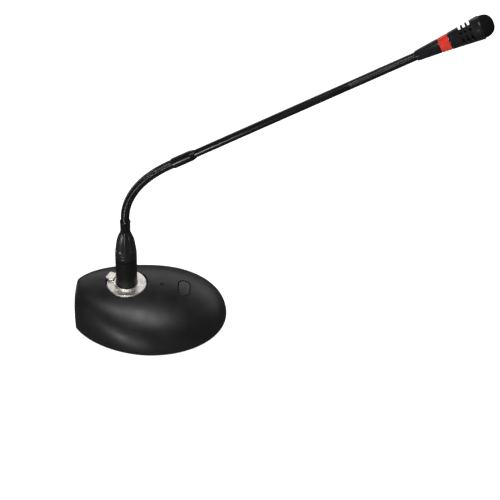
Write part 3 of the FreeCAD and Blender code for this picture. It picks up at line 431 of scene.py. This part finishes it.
def make_tubes():
    """The long tube from the ferrule to the coupling and the short one from the stem to the head."""
    lower = Route(LOWER, SOCKET_AXIS, STEM_AXIS)
    first, last = -(RIM + FERRULE_REACH) / lower.link, len(LOWER) - 1 - (RIM - TUCK) / lower.link
    chain = ["plug", *links("lower", LOWER), "stem"]
    flexible_tube("lower", lower, first, last, chain, LOWER_RADIUS, LOWER_WALL)
    upper = Route(UPPER, STEM_AXIS, STEM_AXIS)
    first, last = -STEM_SHOULDER / upper.link, len(UPPER) - 1 - (RIM - TUCK) / upper.link
    chain = ["stem", *links("upper", UPPER), "head"]
    flexible_tube("upper", upper, first, last, chain, UPPER_RADIUS, UPPER_WALL)


make_tubes()

# ---------------------------------------------------------------- plug, ferrule, coupling and stem

# In this part and the next, plain sizes are in millimetres and those with MM in metres.  The points of a
# profile or bore are (radius, height).  The boot's outline leaves out its flutes and is (height, radius).

BOOT_OUTLINE = [
    (30.5, 9.3), (35.0, 9.22), (38.0, 8.95), (41.0, 8.6), (44.0, 8.25), (47.0, 7.85), (50.0, 7.25),
    (52.7, 6.5), (54.5, 5.8), (56.2, 5.1), (57.5, 4.6), (58.6, 4.3),
]
BOOT_BORE = (
    (4.25, 58.8), (3.22, 58.8), (3.22, 52.0), (6.2, 46.0), (7.8, 36.0), (7.8, 30.4), (9.1, 30.4),
)
BOOT_COLUMNS = 160
BOOT_LOW = 30.5
BOOT_TOP = 58.6
FINE_STEP = 0.1  # between rows of points in the boot's lower part, where its lines are
FINE_ROWS = 85
FLUTED_LOW = 39.0  # where the wider rows start
FLUTED_STEP = 0.28
FLUTED_ROWS = 70
FLUTES = 8
FLUTE_DEPTH = 0.8
FLUTE_FOOT = 38.6
FLUTE_FOOT_LONG = 3.2
FLUTE_HALF = 0.36  # half of a flute's width, in steps from flute to flute
FLUTE_FADE = 4.0  # how far below its end a flute starts to run out
FLUTE_END = 59.0
FLUTE_POWER = 0.7
RING_LINES = (33.8, 37.3)
RING_DEPTH = 0.2
RING_WIDTH = 0.28


def outline_radius(outline, height):
    """The radius of an outline at a height, by a smooth curve through its points."""
    heights = [point[0] for point in outline]
    k = max(min(sum(height >= h for h in heights), len(outline) - 1), 1) - 1
    slopes = []
    for j in (k, k + 1):
        low, high = outline[max(j - 1, 0)], outline[min(j + 1, len(outline) - 1)]
        slopes.append((high[1] - low[1]) / (high[0] - low[0]))
    span = heights[k + 1] - heights[k]
    leave, arrive = span * slopes[0], span * slopes[1]
    return cubic(outline[k][1], outline[k + 1][1], leave, arrive, (height - heights[k]) / span)


def flute_depth(share, height):
    """How far a flute is sunk in at a share of a turn; its lower end is round."""
    if height < FLUTE_FOOT:
        return 0.0
    grow = min((height - FLUTE_FOOT) / FLUTE_FOOT_LONG, 1.0)
    round_foot = math.sqrt(1 - (1 - grow) ** 2)
    across = abs((share * FLUTES) % 1.0 - 0.5) / max(FLUTE_HALF * round_foot, 1e-6)
    fade = min((FLUTE_END - height) / FLUTE_FADE, 1.0)
    return FLUTE_DEPTH * fade * round_foot * max(1 - across**2, 0.0) ** FLUTE_POWER


def ring_line(height):
    """How far the two turned lines round the boot are sunk in."""
    return sum(RING_DEPTH * math.exp(-(((height - line) / RING_WIDTH) ** 2)) for line in RING_LINES)


def make_boot():
    """The plug's moulded boot, with two turned lines and a row of flutes."""
    heights = [BOOT_LOW + FINE_STEP * k for k in range(FINE_ROWS)]
    heights += [FLUTED_LOW + FLUTED_STEP * k for k in range(FLUTED_ROWS)]
    rings = []
    for height in heights + [BOOT_TOP]:
        plain = outline_radius(BOOT_OUTLINE, height) - ring_line(height)
        ring = []
        for k in range(BOOT_COLUMNS):
            share = k / BOOT_COLUMNS
            turn = 2 * math.pi * share
            reach = (plain - flute_depth(share, height)) * MM
            ring.append(SOCKET @ Vector((reach * math.cos(turn), reach * math.sin(turn), height * MM)))
        rings.append(ring)
    for radius, height in BOOT_BORE:
        rings.append(circle(raised(SOCKET, height), radius * MM, BOOT_COLUMNS))
    piece = add_piece("boot", "boot_plastic", *skin(rings), sharp=45.0)
    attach(piece, "plug")
    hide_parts("plug_boot")


FERRULE_PROFILE = [
    (3.18, 53.0), (3.18, 58.85), (4.0, 58.85), (4.2, 59.1), (4.3, 67.8), (4.55, 68.2), (4.55, 69.0),
    (4.2, 69.6), (3.72, 70.0), (3.72, 69.2), (1.6, 69.2), (1.6, 53.0),
]
COUPLING_PROFILE = [
    (3.72, 0.0), (4.0, 0.1), (4.27, 0.9), (4.27, 16.8), (3.47, 20.35), (3.2, 20.4), (3.14, 20.0),
    (3.14, 13.0), (2.2, 13.0), (2.2, 2.0), (3.72, 2.0),
]
STEM_RADIUS = 3.12
STEM_BORE = 2.2
STEM_LOW = 13.2
STEM_TOP = (UPPER[0] - STEM.translation).length / MM - STEM_SHOULDER / MM
STEM_PROFILE = [
    (STEM_RADIUS, STEM_LOW), (STEM_RADIUS, STEM_TOP), (STEM_BORE, STEM_TOP), (STEM_BORE, STEM_LOW),
]

make_boot()
turned("ferrule", "neck_metal", "plug", "neck_ferrule", SOCKET, FERRULE_PROFILE, radius=0.22)
turned("coupling", "neck_metal", "stem", "neck_coupling", STEM, COUPLING_PROFILE, radius=0.3)
turned("stem_pipe", "neck_metal", "stem", "stem_tube", STEM, STEM_PROFILE, radius=0.15)

# ---------------------------------------------------------------- head

HEAD_REAR_PROFILE = [
    (3.3, 0.0), (3.8, 0.5), (4.1, 2.2), (4.25, 4.0), (5.5, 18.6), (4.1, 18.6), (4.1, 6.0), (2.2, 6.0),
    (2.2, 2.6), (3.25, 2.6),
]
RING_PROFILE = [(3.95, 18.9), (5.55, 18.9), (6.25, 26.4), (3.95, 26.4)]
turned("head_rear", "head_plastic", "head", "head_cone", HEAD, HEAD_REAR_PROFILE, radius=0.5)
turned("ring_diffuser", "ring_plastic", "head", "light_ring", HEAD, RING_PROFILE, radius=0.25)

COLUMNS = 144
BODY_BACK = 26.7
BODY_BACK_RADIUS = 6.35
BODY_RADIUS = 8.95
BODY_TAPER = 23.0  # length over which the body widens to its full radius
CORE_BORE = 3.55
CAPSULE_BACK = 30.7
CAPSULE_BORE = 5.15
CAPSULE_FRONT = 43.4
CAPSULE_WIDENS = 0.5
CAPSULE_LONG = 12.7
SEAT_BORE = 8.37
SLOT_ROWS = ((34.8, 36.9), (38.25, 40.35), (41.7, 43.8))
BRIDGES = ((80, 100), (200, 220), (300, 350))  # in degrees round the head, between the slots
FACETS = 12
FACET_START = 27.6
FACET_END = 49.0
FACET_RISE = 1.5
FACET_FALL = 2.5


def shell_rows():
    """Rows of the head's body from its back: outer height, outer radius, inner height, inner radius."""
    def outer(z):
        return BODY_BACK_RADIUS + (z - BODY_BACK) * (BODY_RADIUS - BODY_BACK_RADIUS) / BODY_TAPER

    def inner(z):
        return CAPSULE_BORE + (min(z, CAPSULE_FRONT) - CAPSULE_BACK) * CAPSULE_WIDENS / CAPSULE_LONG

    back = [
        (BODY_BACK, 6.15, BODY_BACK, CORE_BORE), (26.8, 6.32, 26.9, CORE_BORE),
        (27.05, outer(27.05), 27.3, CORE_BORE), (28.0, outer(28.0), 28.5, CORE_BORE),
        (30.0, outer(30.0), CAPSULE_BACK, CORE_BORE), (31.5, outer(31.5), CAPSULE_BACK, CAPSULE_BORE),
    ]
    edges = [33.0] + [edge for slot in SLOT_ROWS for edge in slot]
    middle = [(z, outer(z), z, inner(z)) for z in edges]
    front = [
        (46.0, outer(46.0), 46.0, 6.3), (48.4, outer(48.4), 48.7, 7.15), (49.0, outer(49.0), 48.7, SEAT_BORE),
        (49.7, BODY_RADIUS, 49.5, SEAT_BORE), (50.2, 8.93, 50.0, SEAT_BORE), (50.6, 8.84, 50.3, SEAT_BORE),
        (50.83, 8.68, 50.6, SEAT_BORE), (50.9, 8.5, 50.9, SEAT_BORE),
    ]
    return back + middle + front


def facet_share(height):
    """How strongly the body is faceted at a height; the facets fade towards both ends."""
    rise = min(max((height - FACET_START) / FACET_RISE, 0.0), 1.0)
    fall = min(max((FACET_END - height) / FACET_FALL, 0.0), 1.0)
    return rise * fall


def make_head_shell():
    """The head's front body: a faceted shell with three rows of slots."""
    rows = shell_rows()
    outer, inner = [], []
    for z_out, r_out, z_in, r_in in rows:
        for k in range(COLUMNS):
            turn = 2 * math.pi * k / COLUMNS
            off = turn % (2 * math.pi / FACETS) - math.pi / FACETS
            flat = math.cos(math.pi / FACETS) / math.cos(off)
            reach = r_out * (1 + (flat - 1) * facet_share(z_out)) * MM
            outer.append(HEAD @ Vector((reach * math.cos(turn), reach * math.sin(turn), z_out * MM)))
            inner.append(HEAD @ Vector((r_in * MM * math.cos(turn), r_in * MM * math.sin(turn), z_in * MM)))
    size = len(outer)

    def is_open(row, k):
        """Whether a cell of the shell is part of a slot or lies beyond an end."""
        if not 0 <= row < len(rows) - 1:
            return True
        angle = (k + 0.5) * 360 / COLUMNS
        slotted = any(low <= rows[row][0] < high for low, high in SLOT_ROWS)
        return slotted and not any(low < angle < high for low, high in BRIDGES)

    faces = []
    for row in range(len(rows) - 1):
        for k in range(COLUMNS):
            if is_open(row, k):
                continue
            after = (k + 1) % COLUMNS
            a, b = row * COLUMNS + k, row * COLUMNS + after
            c, d = b + COLUMNS, a + COLUMNS
            faces.append((a, b, c, d))
            faces.append((size + d, size + c, size + b, size + a))
            sides = (((row - 1, k), a, b), ((row, after), b, c), ((row + 1, k), c, d), ((row, k - 1), d, a))
            for place, start, end in sides:
                if is_open(place[0], place[1] % COLUMNS):
                    faces.append((start, size + start, size + end, end))
    piece = add_piece("head_shell", "head_plastic", outer + inner, faces, sharp=30.0)
    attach(piece, "head")
    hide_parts("head_body")


make_head_shell()

MESH_CELLS = 30
WIRE = 0.26 * MM
DOME_LOW = 51.0
DOME_HIGH = 8.57  # above its edge, which is at DOME_LOW
DOME_RADIUS = 8.32
DOME_POWER = 2.37
DOME_STEPS = 200
BAND_PROFILE = [(8.34, 48.8), (8.34, 51.1), (8.1, 51.5), (7.8, 51.5), (7.8, 48.8)]
LINING_RADIUS = 7.7
LINING_GAP = 0.45  # between the tips of the dome and of the lining
LINING_HIGH = DOME_HIGH - LINING_GAP
LINING_THICK = 0.3
LINING_STEPS = 24
LINING_TIP = 0.05  # radius of the pinhole at the lining's tip


def dome_profile(radius, high, steps):
    """Points from a dome's tip to its edge: share of the way along the profile, radius, height."""
    points = []
    for k in range(steps + 1):
        turn = math.pi / 2 * (1 - k / steps)
        reach = radius * math.cos(turn) ** (2 / DOME_POWER) if turn < math.pi / 2 else 0.0
        points.append((reach, DOME_LOW + high * math.sin(turn) ** (2 / DOME_POWER)))
    lengths = [0.0]
    for before, after in zip(points, points[1:]):
        lengths.append(lengths[-1] + math.dist(before, after))
    return [(length / lengths[-1], *point) for length, point in zip(lengths, points)]


def on_profile(profile, share):
    """The dome's radius and height at a share of the way from its tip to its edge."""
    for before, after in zip(profile, profile[1:]):
        if share <= after[0]:
            part = (share - before[0]) / (after[0] - before[0])
            return [low + (high - low) * part for low, high in zip(before[1:], after[1:])]
    return profile[-1][1:]


def make_grille():
    """A square wire cloth pressed to a dome, and the turned band that holds its edge."""
    inset = WIRE / 2 / MM
    profile = dome_profile(DOME_RADIUS - inset, DOME_HIGH - inset, DOME_STEPS)
    vertices = []
    for i in range(MESH_CELLS + 1):
        for j in range(MESH_CELLS + 1):
            u, v = 2 * i / MESH_CELLS - 1, 2 * j / MESH_CELLS - 1
            x, y = u * math.sqrt(1 - v * v / 2), v * math.sqrt(1 - u * u / 2)
            share = min(math.hypot(x, y), 1.0)
            reach, height = on_profile(profile, share)
            turn = math.atan2(y, x)
            vertices.append(HEAD @ (Vector((reach * math.cos(turn), reach * math.sin(turn), height)) * MM))
    row = MESH_CELLS + 1
    faces = []
    for i in range(MESH_CELLS):
        for j in range(MESH_CELLS):
            corner = i * row + j
            faces.append((corner, corner + row, corner + row + 1, corner + 1))
    cloth = add_piece("grille_cloth", "grille_metal", vertices, faces)
    wires = cloth.modifiers.new("wires", "WIREFRAME")
    wires.thickness = WIRE
    wires.use_even_offset = False
    wires.use_boundary = True
    depsgraph = bpy.context.evaluated_depsgraph_get()
    cloth.data = bpy.data.meshes.new_from_object(cloth.evaluated_get(depsgraph))
    cloth.modifiers.clear()
    cloth.data.shade_smooth()
    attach(cloth, "head")
    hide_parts("grille")
    rings = [circle(raised(HEAD, z), r * MM) for r, z in rounded(BAND_PROFILE, 0.15)]
    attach(add_piece("grille_band", "grille_metal", *skin(rings)), "head")


def make_lining():
    """The thin dark cloth under the wires, a dome with a wall."""
    outer = dome_profile(LINING_RADIUS, LINING_HIGH, LINING_STEPS)
    inner = dome_profile(LINING_RADIUS - LINING_THICK, LINING_HIGH - LINING_THICK, LINING_STEPS)
    rings = [circle(raised(HEAD, z), max(reach, LINING_TIP) * MM) for _, reach, z in outer + inner[::-1]]
    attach(add_piece("grille_lining", "foam", *skin(rings)), "head")


make_grille()
make_lining()

# ---------------------------------------------------------------- floor, light and camera

FLOOR_SIZE = 4.0
WORLD_LEVEL = 0.06
CAMERA_PLACE = (0.1078, -0.6603, 0.6375)
CAMERA_DOWN = 40.4  # degrees below level
CAMERA_LENS = 73.4
CAMERA_SENSOR = 36.0

# Area lights: name, place, what it points at, width and height, power
LIGHTS = (
    ("overhead", (-0.02, -0.48, 1.41), (0.0, 0.0, 0.0), (0.42, 0.24), 13.0),
    ("low_left", (-0.52, -1.08, 0.08), (0.02, 0.0, 0.05), (0.34, 0.20), 5.5),
    ("far_left", (-1.0, 0.55, 0.10), (0.0, 0.0, 0.04), (0.30, 0.20), 1.5),
    ("back_panel", (0.05, 1.45, 0.75), (0.05, 0.0, 0.0), (2.2, 1.1), 9.0),
    ("right_panel", (1.25, 1.0, 0.70), (0.05, 0.0, 0.0), (1.2, 1.0), 5.0),
)


def make_floor():
    """A plain white floor that glossy pieces don't mirror."""
    bpy.ops.mesh.primitive_plane_add(size=FLOOR_SIZE, location=(0, 0, 0))
    floor = bpy.context.object
    floor.name = "floor"
    look = Look("floor", (0.85, 0.85, 0.85), 0.8, Specular_IOR_Level=0.1, Emission_Strength=0.7)
    look.shader.inputs["Emission Color"].default_value = (1, 1, 1, 1)
    look.mottled(look.grain(3.0), share=0.02)
    floor.data.materials.append(look.material)
    floor.visible_glossy = False


def make_light(name, place, target, size, power):
    """A rectangular light at a place, turned towards a target."""
    lamp = bpy.data.lights.new(name, "AREA")
    lamp.shape = "RECTANGLE"
    lamp.size, lamp.size_y = size
    lamp.energy = power
    light = bpy.data.objects.new(name, lamp)
    scene.collection.objects.link(light)
    light.location = place
    light.rotation_euler = (Vector(target) - Vector(place)).to_track_quat("-Z", "Y").to_euler()


def make_camera():
    """The camera that looks down on the object from the front, as in the photograph."""
    data = bpy.data.cameras.new("camera")
    data.sensor_width = CAMERA_SENSOR
    data.lens = CAMERA_LENS
    data.clip_start = 0.01
    camera = bpy.data.objects.new("camera", data)
    scene.collection.objects.link(camera)
    camera.location = CAMERA_PLACE
    camera.rotation_euler = (math.radians(90 - CAMERA_DOWN), 0, 0)
    scene.camera = camera
    scene.view_settings.view_transform = "Standard"


def make_world(level):
    """An even white surrounding light."""
    world = bpy.data.worlds.new("studio")
    world.use_nodes = True
    world.node_tree.nodes["Background"].inputs["Color"].default_value = (1, 1, 1, 1)
    world.node_tree.nodes["Background"].inputs["Strength"].default_value = level
    scene.world = world


make_floor()
make_camera()
make_world(WORLD_LEVEL)
for light in LIGHTS:
    make_light(*light)
